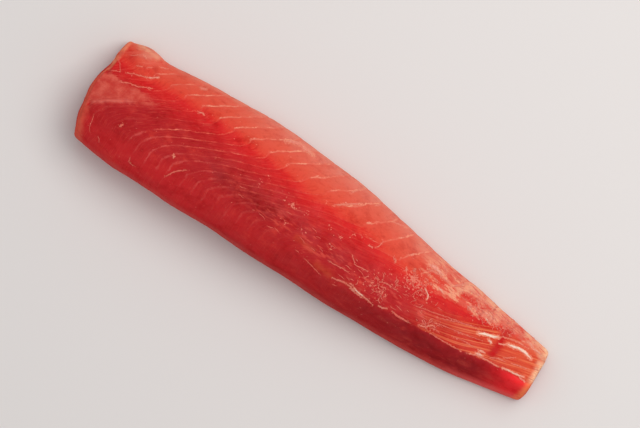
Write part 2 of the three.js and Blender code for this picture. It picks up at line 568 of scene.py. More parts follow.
# The form's triangles are joined into faces again and smoothed.
smoothing = {"merge": 0.01 * mm, "flat": math.radians(40), "levels": 2}


def buildLoin():
    form = bmesh.new()
    form.from_mesh(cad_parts["tuna_loin"].data)
    bmesh.ops.remove_doubles(form, verts=form.verts, dist=smoothing["merge"])
    flat = smoothing["flat"]
    bmesh.ops.join_triangles(form, faces=form.faces, angle_face_threshold=flat, angle_shape_threshold=flat)
    mesh = bpy.data.meshes.new("loin_flesh")
    form.to_mesh(mesh)
    form.free()
    piece = link("loin_flesh", mesh)
    smooth = piece.modifiers.new("smooth", "SUBSURF")
    smooth.levels = smooth.render_levels = smoothing["levels"]
    return settle(piece)


# The middle of each cut face goes over evenly from the face round it, where the form has a hollow.
endFaces = {
    "depth": 15 * mm,
    "hollow": (0.75, 0.42),  # across and up from the middle of the face, as shares of its half sizes
    "round": 1.6,  # how far out the face round it counts, for a hollow of 1
    "facing": 0.85,  # how squarely that face looks along the loin
    "spreads": 60,
    "weigh": (0, 1, 0.35),
    "blur": 1 * mm,
}


def evenEnds(mesh):
    form = bmesh.new()
    form.from_mesh(mesh)
    form.verts.ensure_lookup_table()
    point = np.array([vert.co for vert in form.verts])
    square = np.abs([vert.normal.x for vert in form.verts]) > endFaces["facing"]
    for end in (low.x, high.x):
        near = np.abs(point[:, 0] - end) < endFaces["depth"]
        least, most = point[near, 1:].min(0), point[near, 1:].max(0)
        out = np.linalg.norm((2 * point[:, 1:] - least - most) / (most - least) / endFaces["hollow"], axis=1)
        sound = point[near & (out > 1) & (out < endFaces["round"]) & square]
        hollow = [form.verts[index] for index in np.flatnonzero(near & (out < 1))]
        for _ in range(endFaces["spreads"]):
            bmesh.ops.smooth_vert(form, verts=hollow, factor=0.5, use_axis_y=True, use_axis_z=True)
        for vert in hollow:
            gaps = (sound - vert.co) * endFaces["weigh"]
            weight = 1 / ((gaps**2).sum(1) + endFaces["blur"] ** 2) ** 2
            vert.co.x = weight @ sound[:, 0] / weight.sum()
    form.to_mesh(mesh)
    form.free()


# Where the knife scraped, and where crumbs of fat lie: how thick, share, y, and reaches along and across.
scrapes = [
    (1, 0.716, 11, 19, 13), (0.8, 0.656, -16, 14, 13), (0.9, 0.775, -17, 12, 5), (0.9, 0.868, 25, 36, 6),
    (0.8, 0.85, 21, 18, 6), (0.7, 0.584, 20, 4, 5), (0.35, 0.84, 33, 45, 4),
]
crumbs = [
    (1, 0.442, 5, 8, 3), (1, 0.367, 6, 2.5, 3), (0.6, 0.376, 12, 3, 4), (0.8, 0.402, 3, 3, 2),
    (1, 0.473, 6.5, 2.5, 3), (0.9, 0.5225, 7.5, 2, 2.5), (1, 0.546, 5.5, 3, 2.5), (0.8, 0.545, -8, 3, 4),
    (0.5, 0.448, -13, 6, 5), (0.6, 0.48, -12, 3, 6), (0.6, 0.568, 13, 5, 5), (0.5, 0.487, 27, 3, 3),
    (0.5, 0.86, 23, 16, 4), (0.4, 0.7, 12, 12, 8),
]

# Torn pits and slits: share, y, half sizes, depth.
pits = [
    (0.866, -2.5, 3.2, 1.7, 0.8), (0.905, 10, 3.2, 2.3, 0.8), (0.906, -3, 3.2, 1.7, 0.8),
    (0.91, 17, 4.5, 2.4, 0.8), (0.853, 7, 3.5, 2.6, 0.6), (0.0215, -26, 2.2, 3.8, 1.2),
    (0.014, 11, 3, 3, 0.8),
]

# Bands on the top: hue, amount, half width and height in mm, and the path as share of the length and y.
bands = [
    ("pit", 0.32, 12, 0, [(0.645, -8), (0.735, -7)]),
    ("salmon", 0.8, 2.6, 0.2, [(0.745, 17.5), (0.8, 19.5), (0.83, 21), (0.875, 26)]),
    ("edge", 0.6, 7, 0, [(0.68, 46), (0.79, 38)]),
    ("edge", 0.85, 7, 0, [(0.79, 36), (0.87, 33)]),
    ("edge", 0.7, 5, 0, [(0.87, 31), (0.98, 27)]),
    ("cream", 0.6, 2.5, 0.2, [(0.785, 30), (0.79, 27.5)]),
    ("cream", 0.6, 2.6, 0.2, [(0.8, 40), (0.83, 37), (0.88, 36)]),
    ("cream", 0.45, 3, 0.1, [(0.845, 26), (0.875, 24)]),
    ("cream", 0.5, 3, 0.1, [(0.94, 29), (0.955, 24)]),
    ("cream", 0.5, 3, 0, [(0.035, 52), (0.075, 51)]),
    ("scarlet", 0.9, 2.4, -0.3, [(0.8, 27.5), (0.852, 26.5)]),
    ("scarlet", 0.8, 3, -0.2, [(0.893, 19), (0.908, 20)]),
    ("scarlet", 0.6, 1.5, -0.3, [(0.905, 20.5), (0.955, 21)]),
    ("scarlet", 0.35, 2.5, 0, [(0.70, 28), (0.76, 26)]),
    ("scarlet", 0.35, 4, 0, [(0.05, 17), (0.13, 24)]),
    ("shadow", 0.55, 9, 0, [(0.3, -12), (0.42, -14)]),
    ("scarlet", 0.5, 4, -0.2, [(0.02, 42), (0.035, 38), (0.045, 32)]),
    ("scarlet", 0.35, 3, 0, [(0.065, 34), (0.08, 36)]),
    ("edge", 0.6, 4, 0.2, [(0.055, 45), (0.065, 47)]),
    ("amber", 0.6, 3.5, 0.1, [(0.54, -31), (0.57, -32)]),
    ("amber", 0.5, 3, 0.1, [(0.48, -19), (0.52, -21)]),
    ("amber", 0.4, 2, 0.1, [(0.6, -29), (0.63, -30)]),
    ("pit", 1, 4, -0.4, [(0.9025, 21), (0.905, 8), (0.9045, -5)]),
    # painted shade: a shadow line in a corner of the head end, then a dark slit in a pit
    ("footDark", 0.55, 2.2, -0.4, [(0.012, 19), (0.021, 9)]),
    ("footDark", 0.6, 2.2, 0, [(0.02, -20), (0.024, -28)]),
    ("cream", 0.6, 4, 0.2, [(0.962, 29), (0.985, 25)]),
]

# Tendons and seams of fat on the top: width in mm, how pale, and the path as share of the length and y.
tendons = {
    "tail": [
        (2.6, 1.0, [(0.86, 3.7), (0.87, 6.2), (0.888, 9.7), (0.8975, 12.2)]),
        (2.6, 1.0, [(0.918, 11.2), (0.931, 12.7), (0.942, 14.3), (0.9555, 14.3), (0.9705, 12.2)]),
        (1.3, 0.6, [(0.905, 7), (0.915, 9.5)]),
        (2.2, 0.7, [(0.884, 4.2), (0.891, 3.1)]),
        (2, 0.65, [(0.879, -10), (0.89, -9)]),
        (1.8, 0.7, [(0.877, -14), (0.89, -12.5)]),
        (1.0, 0.35, [(0.903, 15), (0.914, 16.8), (0.939, 19), (0.9555, 19.3)]),
    ],
    "lip": [
        (1.0, 0.2, [(0.7835, -23.5), (0.806, -23), (0.83, -22), (0.85, -21)]),
        (1.1, 0.4, [(0.862, -19.1), (0.873, -17.2), (0.888, -14.6), (0.903, -13.6), (0.927, -12.8)]),
        (1.3, 0.75, [(0.933, -11.5), (0.946, -10), (0.961, -8.8), (0.978, -6.7)]),
        (1.4, 0.5, [(0.9705, -9.5), (0.9835, -10)]),
    ],
    "fan": [
        (0.7, 0.1, [(0.7255, -10), (0.765, -4.9), (0.8, 0.1), (0.83, 4.2), (0.862, 10.2)]),
        (0.7, 0.15, [(0.776, -6.9), (0.798, -2.9), (0.821, 2.1), (0.843, 5.7), (0.862, 7.2)]),
        (0.7, 0.15, [(0.821, -8), (0.849, -3.9), (0.877, 0.1)]),
        (0.7, 0.1, [(0.78, -12), (0.813, -8), (0.84, -4.9)]),
        (0.7, 0.1, [(0.821, -14), (0.843, -11), (0.87, -10), (0.884, -8)]),
        (0.8, 0.3, [(0.924, -2.9), (0.946, 5.2)]),
        (0.8, 0.3, [(0.942, -2.9), (0.961, 0.1), (0.978, 2.6)]),
        (0.8, 0.3, [(0.903, -10), (0.918, -5.9), (0.933, -4.9)]),
    ],
    "ridge": [
        (1.8, 0.25, [(0.578, -32.7), (0.593, -30.7), (0.608, -29.2)]),
        (1.0, 0.4, [(0.604, -29.2), (0.612, -29.8), (0.626, -30.7)]),
        (1.3, 0.75, [(0.622, -28.9), (0.632, -30.2), (0.645, -30.7)]),
        (0.9, 0.4, [(0.64, -31.2), (0.651, -30.9), (0.668, -32.4)]),
        (0.8, 0.35, [(0.615, -31.5), (0.63, -32.2), (0.645, -32.6)]),
        (0.8, 0.3, [(0.608, -27.2), (0.62, -27.6)]),
        (1.2, 0.45, [(0.677, -30.2), (0.686, -29.2), (0.694, -27.6)]),
        (1.8, 0.15, [(0.703, -26.6), (0.716, -27.6), (0.731, -27.1), (0.744, -26.1)]),
        (1.3, 0.4, [(0.759, -23.1), (0.77, -21.6), (0.776, -18.1), (0.7835, -15)]),
        (0.9, 0.15, [(0.5516, -21.1), (0.57, -20.1), (0.589, -19.1), (0.6, -19.6)]),
        (0.8, 0.05, [(0.512, -32.2), (0.54, -35.2), (0.559, -37.2)]),
        (0.9, 0.2, [(0.5965, -9), (0.611, -8.5), (0.626, -6.9)]),
        (0.8, 0.2, [(0.6526, -9), (0.6657, -6.9), (0.6825, -6.9)]),
        (0.8, 0.2, [(0.585, -3), (0.5965, -8)]),
    ],
    "back": [
        (5, 0.6, [(0.714, 33.4), (0.731, 33.6), (0.748, 31.8)]),
        (2, 0.4, [(0.714, 28.4), (0.731, 29.9), (0.755, 29.4), (0.774, 28.4)]),
        (1.8, 0.45, [(0.791, 38.5), (0.7835, 34.4), (0.776, 29.4), (0.77, 27.4)]),
        (2.2, 0.45, [(0.806, 36.5), (0.821, 35.5), (0.843, 33.4), (0.866, 33.9)]),
        (2.4, 0.3, [(0.8, 40), (0.815, 38.5), (0.83, 37)]),
        (2.6, 0.3, [(0.876, 33.5), (0.892, 31.8), (0.905, 31)]),
        (2, 0.35, [(0.735, 40.5), (0.746, 38), (0.75, 35)]),
        (1.6, 0.3, [(0.825, 30.5), (0.832, 28.5), (0.838, 25.5)]),
        (1.4, 0.3, [(0.915, 29.5), (0.93, 28.5), (0.945, 29)]),
        (1.7, 0.6, [(0.849, 24.4), (0.862, 25.4), (0.873, 23.3)]),
        (1.5, 0.6, [(0.856, 21.3), (0.862, 19.3), (0.87, 18.3)]),
        (1.8, 0.55, [(0.817, 20.3), (0.8265, 19.3)]),
        (1.8, 0.6, [(0.75, 19.3), (0.759, 18.3), (0.767, 16.8)]),
        (1.7, 0.6, [(0.961, 21.8), (0.972, 22.3), (0.985, 20.8)]),
        (1.5, 0.55, [(0.944, 25.4), (0.9555, 24.4), (0.965, 22.3)]),
        (1, 0.75, [(0.731, 11.2), (0.739, 8.7), (0.744, 6.7), (0.745, 2.1)]),
        (4, 0.5, [(0.363, 54.6), (0.376, 58.2), (0.389, 59.7), (0.406, 58.7), (0.421, 58.2)]),
        (1.6, 0.35, [(0.611, 47.6), (0.626, 49.6), (0.643, 51.1)]),
        (1.4, 0.35, [(0.568, 50.6), (0.576, 55.7)]),
        (1.4, 0.35, [(0.518, 47.6), (0.527, 55.7), (0.535, 59.7)]),
    ],
    "kinks": [
        (1.0, 0.3, [(0.618, 26.4), (0.616, 19.3), (0.611, 16.3)]),
        (1.4, 0.35, [(0.6, 15), (0.608, 14.8)]),
        (1.6, 0.35, [(0.656, 18.3), (0.658, 15.3)]),
        (1.6, 0.4, [(0.681, 18.3), (0.684, 14.3)]),
        (1.6, 0.5, [(0.673, 30.4), (0.679, 32.4)]),
        (1.4, 0.45, [(0.504, 28), (0.515, 33), (0.53, 39), (0.548, 46)]),
    ],
    "head": [
        (1.0, 0.25, [(0.045, 20.3), (0.054, 22.3), (0.06, 24.4), (0.067, 25.4), (0.084, 28.4)]),
        (1.4, 0.55, [(0.082, 28.2), (0.09, 30.4), (0.101, 35.5)]),
        (1.0, 0.1, [(0.0206, 14.3), (0.028, 16.3), (0.0355, 17.8)]),
        (
            1.0, 0.25,
            [(0.045, 10.2), (0.052, 10.7), (0.06, 13.2), (0.077, 15.3), (0.0916, 19.3), (0.105, 22.3)],
        ),
        (0.8, 0.05, [(0.014, 34.4), (0.0187, 29.4), (0.0234, 24.4)]),
        (0.8, 0.05, [(0.0225, 27.4), (0.03, 22.3), (0.037, 17.3)]),
        (0.9, 0.2, [(0.03, 36.5), (0.039, 39.5), (0.0486, 44), (0.056, 45.6)]),
        (1.8, 0.4, [(0.056, 44.5), (0.062, 44)]),
        (0.9, 0.2, [(0.054, 32.4), (0.0655, 35)]),
        (0.9, 0.25, [(0.071, 36.5), (0.082, 40)]),
        (1, 0.3, [(0.0916, 44.5), (0.105, 47.6)]),
        (2.6, 0.35, [(0.175, 51.1), (0.178, 50.2), (0.186, 53)]),
        (1.4, 0.4, [(0.198, 28.4), (0.206, 30.4), (0.211, 29.9)]),
    ],
    "side": [
        (2.0, 0.15, [(0.093, -28.2), (0.097, -24.1)]),
        (2.2, 0.45, [(0.206, -20.6), (0.209, -22.1)]),
        (1.2, 0.15, [(0.215, -43.8), (0.2188, -40.3), (0.2244, -35.2), (0.2319, -30.2), (0.243, -26.1)]),
        (1.0, 0.0, [(0.142, -46.3), (0.144, -50.9), (0.15, -52.4), (0.159, -51.9)]),
        (0.8, -0.15, [(0.041, -31.2), (0.044, -36.2), (0.046, -42.3), (0.0505, -47.3), (0.056, -50.4)]),
        (0.8, -0.1, [(0.069, -47.3), (0.075, -49.9), (0.0795, -52.9)]),
    ],
}

# Where along the loin a zone or a hue comes in: nothing at the first share and whole at the second.
spans = {
    "jag": (0.1, 0.25),
    "ragged": (0.67, 0.76),
    "sharp": (0.45, 0.75),
    "fan": (0.7, 0.87),
    "veil": (0.175, 0.085),
    "hem": (0.105, 0.07),
    "hemFromHead": (0.015, 0.03),
    "strewn": (0.27, 0.5),
    "strewnFromTail": (0.86, 0.76),
    "wallDark": (0.66, 0.78),
    "wallFoot": (0.7, 0.82),
    "wallEnd": (0.88, 0.985),
    "wallRim": (0.8, 0.93),
    "footDark": (0.2, 0.42),
    "footDarkFromTail": (0.72, 0.6),
    "fanEnd": (0.86, 0.95),
}


def zonesOf(fields):
    # how much of each zone every vertex has, mostly from 0 to 1
    y, share, point, up = fields.y, fields.share, fields.point, fields.normal[:, 2]
    count, way, crowding = segmentField(fields)
    broad, fine, crumb = lumps(point, 30, 5), lumps(point, 7, 6), lumps(point, 3, 7)
    above, clearOfBase = ease(-0.35, 0.05, up), ease(-0.7, -0.3, up)
    cut = ease(0.6, 0.85, np.abs(fields.normal[:, 0]))
    ridge, fanEdge = fields.line("ridge", 0.03), fields.line("fanEdge", 0.03)

    jag = loin["jag"] * fields.span("jag") * (count - np.floor(count) - 0.5)
    fromPale = y - fields.line("paleEdge", 0.02) + jag + 2.5 * broad + 1.5 * fine + crumb
    ragged = fields.span("ragged") * ease(0, 6, fromPale)

    sharp = fields.span("sharp")
    pastRidge = ridge - y + 1.2 * fine + 0.8 * crumb
    wall = ease(-1, 14 - 12.5 * sharp, pastRidge) * sharp * clearOfBase

    pastFan = fanEdge - y + 2 * fine + crumb
    insideRidge = 1 - ease(-1.5, 0.5, pastRidge)
    fan = ease(-3, 4, pastFan) * fields.span("fan", 0.03 * broad) * insideRidge * above
    for _, amount, reach, lift, path in bands:
        if lift < -0.3:  # a slit across the fan
            fan *= 1 - amount * fields.stroke(path, reach)

    fromLow, toHigh = y - fields.line("veilLow", 0.01), fields.line("veilHigh", 0.01) - y
    tear = 2 * broad + 2 * fine + 1.5 * crumb
    veilEnd = fields.span("veil", 0.02 * fine + 0.01 * crumb) * above
    veil = ease(-1.5, 3, fromLow + tear) * ease(-2, 3, toHigh + tear) * veilEnd
    hem = bell(fromLow - 3 + 0.5 * tear, 2.4) * fields.span("hem") * fields.span("hemFromHead") * above
    veil *= 1 - 0.8 * hem
    for *pit, _ in pits:
        veil *= 1 - fields.spot(*pit)

    # the pale rims of the cut faces, whose paint is partly light, the back's edge, and the side's foot, where
    # the paint adds bounce light from the floor and shade
    rimWide = 3 + 3.5 * ease(-5, -35, y)
    down = fields.drop + 2 * broad + 1.5 * fine
    headRim = ease(2.2 * rimWide, rimWide, fields.fromHead + 1.5 * fine + crumb) * ease(26, 10, down)
    tailRim = ease(10, 2, fields.toTail + 2 * fine + crumb) * ease(26, 9, down) * (1 - 0.25 * cut)
    backRim = ease(6, 0.5, fields.back(share) - y + 1.2 * fine) * above
    fromFoot = y - fields.side(share) + fine

    # the lines between the segments
    tip, run, kink, rise = (curveThrough(shows)(np.round(count)) for shows in segments["shows"].values())
    lines = tip * ease(0.3, 0.12, way) + run * ease(0.05, 0.2, way) * ease(0.95, 0.75, way)
    lines += kink * ease(0.78, 0.95, way) * ease(1.2, 1.0, way) + rise * ease(1.0, 1.15, way)
    lines *= 0.8 + (1 - 0.55 * ease(1, 1.15, way)) * lumps(point, 8, 10)
    lines *= (1 - 0.9 * wall) * (1 - 0.7 * veil) * (1 - 0.7 * backRim)
    lines = np.clip(lines, 0, 1.2) * (1 - 0.9 * ease(-1, -6, y - fields.axis(share)))
    cutLines = cut * ease(2, 7, fields.drop) * (0.55 + 0.5 * lumps(point, 12, 11))
    cutLines *= ease(0.3, 0.12, crowding)

    fat = np.zeros(len(y))
    for width, pale, path in sum(tendons.values(), []):
        fat = np.maximum(fat, (0.35 + 0.65 * pale) * fields.stroke(path, 0.7 * width + 0.6))
    strewn = fields.span("strewn") * fields.span("strewnFromTail") * (0.7 + 0.9 * broad)
    strewn *= bell(y - fields.line("strewnLine", 0.05), fields.line("strewnReach", 0.05))
    onTop = {
        "veil": veil,
        "veilHem": hem * (0.8 + 0.5 * crumb),
        "ragged": ragged,
        "fat": fat,
        "strewn": np.clip(strewn, 0, 1) * above * (1 - wall),
        "scraped": np.clip(fields.spots(scrapes), 0, 1) * above * (1 - wall),
        "fan": fan,
    }
    return SimpleNamespace(
        **{name: zone * (1 - cut) for name, zone in onTop.items()},
        segment=count,
        way=way,
        crowding=crowding,
        lines=np.maximum(lines * (1 - cut), cutLines),
        sinew=(y - ridge) / np.maximum(fanEdge - ridge, 5) - loin["fanTilt"] * (share - 0.72),
        crumbed=np.clip(fields.spots(crumbs), 0, 1) * above,
        murk=fields.spot(*loin["murk"]),
        gloss=ease(0.25, 0.75, up),
        cut=cut,
        above=above,
        fromPale=fromPale,
        wall=wall,
        headRim=headRim,
        tailRim=tailRim,
        backRim=backRim,
        foot=ease(10, 2, fromFoot) * clearOfBase,
        # painted bounce light from the floor along the side's foot
        seep=ease(7, 0.5, fromFoot) * clearOfBase,
        fine=fine,
        crumb=crumb,
    )


# Screen colours of the flesh. across goes from the side to the back, by mm from the edge of the pale band;
# its pale stops are partly the flesh's own paler colour and partly a painted sheen, and its stops nearest the
# side hold painted light that lifts that side out of its shade. The wall is the steep side towards the tail,
# from the ridge down to the foot.
hues = {
    "across": [
        (-85, (206, 42, 46)), (-70, (195, 40, 43)), (-58, (182, 38, 41)), (-45, (178, 36, 40)),
        (-28, (178, 35, 39)), (-14, (196, 36, 39)), (-2, (214, 40, 40)), (1.5, (220, 56, 46)),
        (7, (222, 74, 56)), (18, (223, 88, 68)), (28, (224, 103, 83)), (40, (226, 128, 110)),
    ],
    "shadow": (146, 31, 34),
    "wall": (168, 36, 40),
    "wallDark": (148, 31, 35),
    "wallEnd": (244, 46, 50),
    # the next two hues: painted bounce light from the floor on the wall's foot
    "wallFoot": (206, 60, 58),
    "wallRim": (240, 100, 98),
    # painted shade
    "footDark": (138, 30, 36),
    "fan": (210, 60, 40),
    "fanEnd": (220, 84, 56),
    # partly a painted highlight along the veil's edge
    "hem": (226, 116, 102),
    # the next two: the head end's rim, partly painted light
    "headRim": (222, 94, 74),
    "headRimBack": (248, 150, 112),
    # painted bounce light from the floor
    "seep": (196, 86, 80),
    # the next two: the tail end's rim, partly painted light
    "tailRim": (255, 214, 170),
    "tailRimLow": (250, 136, 84),
    "edge": (228, 138, 116),
    # painted lighter to make up for the shade on the cut faces
    "cut": (190, 52, 50),
    "salmon": (228, 102, 84),
    "scarlet": (210, 34, 34),
    "pit": (194, 26, 28),
    "cream": (246, 190, 150),
    "amber": (196, 72, 48),
}


def rampOf(stops):
    # colours between stops as a function of one number
    at = [place for place, _ in stops]
    levels = np.array([srgb(*colour)[:3] for _, colour in stops])
    return lambda value: np.stack([np.interp(value, at, levels[:, channel]) for channel in range(3)], axis=1)


def paintOf(fields, zones):
    # every vertex's colour, before the lines and the fine grain
    y, span, offCut = fields.y, fields.span, 1 - zones.cut
    # the ramp holds painted light: a sheen on the pale band and a lightening along the side
    tone = rampOf(hues["across"])(zones.fromPale)

    def lay(hue, amount):
        nonlocal tone
        tone = tone + (np.array(srgb(*hues[hue])[:3]) - tone) * np.clip(amount, 0, 1)[:, None]

    lay("wall", zones.wall)
    lay("wallDark", zones.wall * span("wallDark") * (0.6 + 0.8 * zones.fine))
    # painted bounce light from the floor on the wall's foot
    lay("wallFoot", zones.wall * zones.foot * span("wallFoot") * 0.6)
    lay("wallEnd", zones.wall * span("wallEnd", 0.008 * zones.fine))
    # painted bounce light from the floor on the wall's foot towards the tail
    lay("wallRim", zones.wall * zones.foot * span("wallRim") * 0.8)
    # painted shade along the side's foot, where the flesh turns away from the light
    lay("footDark", zones.foot * span("footDark") * span("footDarkFromTail") * 0.45)
    lay("fan", zones.fan * 0.85)
    lay("fanEnd", zones.fan * span("fanEnd") * 0.8)
    lay("edge", zones.backRim * 0.7)
    for hue, amount, reach, _, path in bands:
        lay(hue, amount * offCut * fields.stroke(path, reach, 0.5 * zones.fine + 0.3 * zones.crumb))
    # the veil's edge: partly its own paler pink, partly a painted highlight along it
    lay("hem", zones.veilHem * 0.85)
    # the cut faces' own red, painted lighter to make up for the shade on them
    lay("cut", zones.cut * 0.7)
    # the head end's rim: partly its own orange, partly painted light glowing through where the end faces away
    # from the lamp
    lay("headRim", zones.headRim * 0.85)
    # painted light: the back half of the head end's rim paler still
    lay("headRimBack", zones.headRim * ease(2, 20, y) * (0.7 + 0.4 * zones.fine))
    # painted light: the floor's bounce lightens the side's foot
    lay("seep", zones.seep * 0.55)
    # the tail end's rim: partly its own cream, partly painted light where the end faces away from the lamp
    lay("tailRim", zones.tailRim * (0.95 - 0.9 * ease(-4, -12, y)))
    # painted light on the lower part of the tail end's rim too
    lay("tailRimLow", zones.tailRim * ease(-4, -12, y) * 0.8)
    for *pit, _ in pits:
        lay("pit", 0.9 * fields.spot(*pit) ** 1.5 * zones.above * offCut)
    return tone


relief = {
    # mm
    "pillow": 0.35,
    "groove": 0.4,
    "shingle": 0.25,
    "lumps": 0.35,
    "veil": 0.5,
}


def reliefOf(fields, zones):
    count, crowding = zones.segment, zones.crowding
    within = count - np.floor(count)
    toLine = np.minimum(within, 1 - within) / crowding  # mm to the nearest membrane
    strength = (0.25 + 0.75 * np.clip(zones.lines, 0, 1)) * np.clip(0.09 / crowding, 0.3, 1)
    height = relief["pillow"] * np.sin(np.pi * within) ** 0.7
    height -= relief["groove"] * bell(toLine, 1.4)
    height += relief["shingle"] * (within - 0.5)
    height *= strength * (1 - zones.cut)
    height += relief["lumps"] * (lumps(fields.point, 24, 8) + 0.4 * lumps(fields.point, 8, 9))
    height += relief["veil"] * zones.veil
    for *_, reach, lift, path in bands:
        height += lift * fields.stroke(path, reach)
    for *pit, depth in pits:
        height -= depth * fields.spot(*pit) * zones.above
    return height * ease(0.5, 5, fields.z)


# The zones that the finishes and the trees read.
shown = (
    "segment", "way", "crowding", "lines", "fat", "fan", "sinew", "strewn", "scraped", "crumbed", "murk",
    "veil", "ragged", "gloss", "cut",
)


def shapeLoin(mesh):
    fields = Fields(mesh)
    zones = zonesOf(fields)
    tone = paintOf(fields, zones)
    moved = fields.point + fields.normal * reliefOf(fields, zones)[:, None]
    moved[:, 2] = np.maximum(moved[:, 2], 0)
    mesh.vertices.foreach_set("co", (moved * mm + (low.x, 0, low.z)).ravel())
    for name in shown:
        layer = mesh.attributes.new(name, "FLOAT", "POINT")
        layer.data.foreach_set("value", getattr(zones, name).astype(np.float32))
    layer = mesh.attributes.new("tone", "FLOAT_COLOR", "POINT")
    layer.data.foreach_set("color", np.column_stack([tone, np.ones(len(tone))]).astype(np.float32).ravel())
    mesh.shade_smooth()
    mesh.update()


shadow = (0.76, 0.42, 0.45, 1)  # what the dark marks multiply the paint by

# What is drawn over the paint: how it mixes, its hue and how strongly it shows.
marks = {
    "streaks": ("MULTIPLY", shadow, 0.7),
    "thinStreaks": ("MIX", srgb(230, 92, 74), 0.42),
    "blots": ("MULTIPLY", shadow, 0.7),
    "mottle": ("MIX", srgb(222, 72, 60), 0.45),
    "flakes": ("MULTIPLY", shadow, 0.4),
    "murk": ("MULTIPLY", shadow, 0.9),
    "fanLight": ("MIX", srgb(238, 134, 90), 0.7),
    "fanDark": ("MIX", srgb(190, 36, 30), 0.65),
    "rag": ("MIX", srgb(240, 166, 132), 0.85),
    "rent": ("MIX", srgb(216, 60, 50), 0.7),
    # painted shading on the overlapping segments
    "shingle": ("MIX", srgb(226, 96, 80), 0.22),
    "shreds": ("MIX", srgb(222, 84, 70), 0.75),
    "crumbs": ("MIX", srgb(236, 140, 118), 0.7),
    "fat": ("MIX", srgb(238, 150, 122), 0.75),
}
membraneHues = {
    "veil": (srgb(200, 65, 56), srgb(218, 98, 82)),
    "line": (srgb(226, 96, 80), srgb(238, 154, 126)),
    "sideLine": srgb(212, 86, 80),
}


def fleshFinish():
    flesh = Finish("flesh")
    names = ("segment", "way", "crowding", "lines", "fan", "veil", "ragged")
    count, way, crowding, lines, fan, cover, ragged = (flesh.field(name) for name in names)
    here = flesh.places()
    colour = flesh.field("tone", "Color")

    def mark(name, where):
        nonlocal colour
        how, hue, strength = marks[name]
        colour = flesh.blend(where * strength, colour, hue, how)

    # streaks that run along the membranes
    along = flesh.grain(flesh.vector(count * 6, way * 5, 0), 1, 3, 0.6)
    thin = flesh.grain(flesh.vector(count * 22, way * 9, 0), 1, 2)
    lengthwise = 1 - flesh.field("cut") * 0.85
    drawn = way.between(0.1, 0.5) * (1 - way.between(0.9, 1.15) * 0.7) * lengthwise  # how much of them shows
    mark("streaks", along.between(0.52, 0.25) * drawn)
    mark("thinStreaks", thin.between(0.5, 0.72) * (drawn * 0.5 + 0.5) * lengthwise)
    coarse = flesh.grain(here, 48, 5, 0.7)
    mark("blots", coarse.between(0.52, 0.28))
    mark("mottle", coarse.between(0.52, 0.76))
    mark("flakes", flesh.grain(flesh.places((110, 190, 190)), 1, 4, 0.7).between(0.48, 0.3))
    mark("murk", flesh.field("murk") * flesh.grain(here, 130, 4, 0.7).between(0.5, 0.38))

    # the torn skin that is left at the head end
    torn = flesh.grain(here, 150, 4, 0.7)
    combed = flesh.grain(flesh.vector(count * 11, way * 4, 0), 1, 3, 0.6) - 0.5
    veil = (cover * 1.5 + combed * (1 - cover) * 6 + combed * 1.2 + (torn - 0.5) * 1.6 - 0.35).clamped()
    veilHue = flesh.blend(flesh.grain(here, 95, 5, 0.65).between(0.36, 0.66), *membraneHues["veil"])
    colour = flesh.blend(veil * cover.between(0.02, 0.3) * 0.85, colour, veilHue)

    # the tail's sinews
    sinews = flesh.grain(flesh.vector(flesh.field("sinew") * 13, flesh.grain(here, 14) * 1.5, 0), 1, 3, 0.68)
    mark("fanLight", fan * sinews.between(0.49, 0.64))
    mark("fanDark", fan * sinews.between(0.47, 0.34))

    # the ragged fat along the back
    rags = flesh.grain(flesh.places((60, 140, 140)), 1, 5, 0.72)
    mark("rag", rags.between(0.52, 0.6) * ragged)
    mark("rent", rags.between(0.47, 0.38) * ragged)

    # the membranes
    fine = flesh.grain(here, 640, 2) - 0.5
    wander = (flesh.grain(here, 160, 2) - 0.5) * 0.22 + fine * 0.12
    toLine = (count + wander).maths("PINGPONG", 0.5) / crowding  # mm
    pale = way.between(0.9, 1.15)
    side = way.between(0.5, 0.1)
    breadth = ((flesh.grain(here, 110, 2) - 0.2).clamped() * 2.2 + 0.3) * (1 + pale * 0.9) * (side * 0.7 + 1)
    broken = flesh.grain(here, 85, 3, 0.6).between(0.56, 0.34)
    whole = 1 - broken * (0.8 - pale * 0.5 + side * 0.15)
    line = (1 - toLine.between(breadth * 0.1, breadth)) * lines * whole
    lineHue = flesh.blend((line - 0.8 + pale * 0.4).clamped() * 1.6, *membraneHues["line"])
    lineHue = flesh.blend(side, lineHue, membraneHues["sideLine"])
    # painted shading across each segment of the pale band: lighter just past its line, redder further on
    shingle = 1 - (count + wander).maths("FRACT").between(0, 0.75)
    mark("shingle", shingle * pale * way.between(0.9, 1.1))
    colour = flesh.blend((line * (1 + fine * 2)).clamped() * (0.9 - side * 0.2), colour, lineHue)

    # shreds, crumbs and fat
    shreds = flesh.grain(flesh.places((70, 300, 300)), 1, 3, 0.6)
    mark("shreds", shreds.between(0.5, 0.64) * flesh.field("strewn"))
    crumbed = flesh.grain(here, 420, 3, 0.65) + flesh.field("scraped") * 0.17 + flesh.field("crumbed") * 0.22
    mark("crumbs", crumbed.between(0.66, 0.78))
    mark("fat", (flesh.field("fat") + fine * 1.4).between(0.3, 0.75))

    height = flesh.grain(here, 420, 3) + along * drawn * 0.6 - line * 0.5
    flesh.surface(
        BaseColor=colour,
        Roughness=flesh.grain(here, 90, 2) * 0.2 + 0.3,
        Normal=flesh.relief(height, 0.25 * mm, 0.6),
        IOR=1.36,
        SpecularIORLevel=0.0,
        SubsurfaceWeight=0.2,
        SubsurfaceRadius=(1.0, 0.25, 0.15),
        SubsurfaceScale=3 * mm,
        CoatWeight=flesh.field("gloss") * flesh.grain(here, 60, 3).between(0.3, 0.7) * 0.18,
        CoatRoughness=0.28,
        CoatIOR=1.36,
    )
    return flesh.material


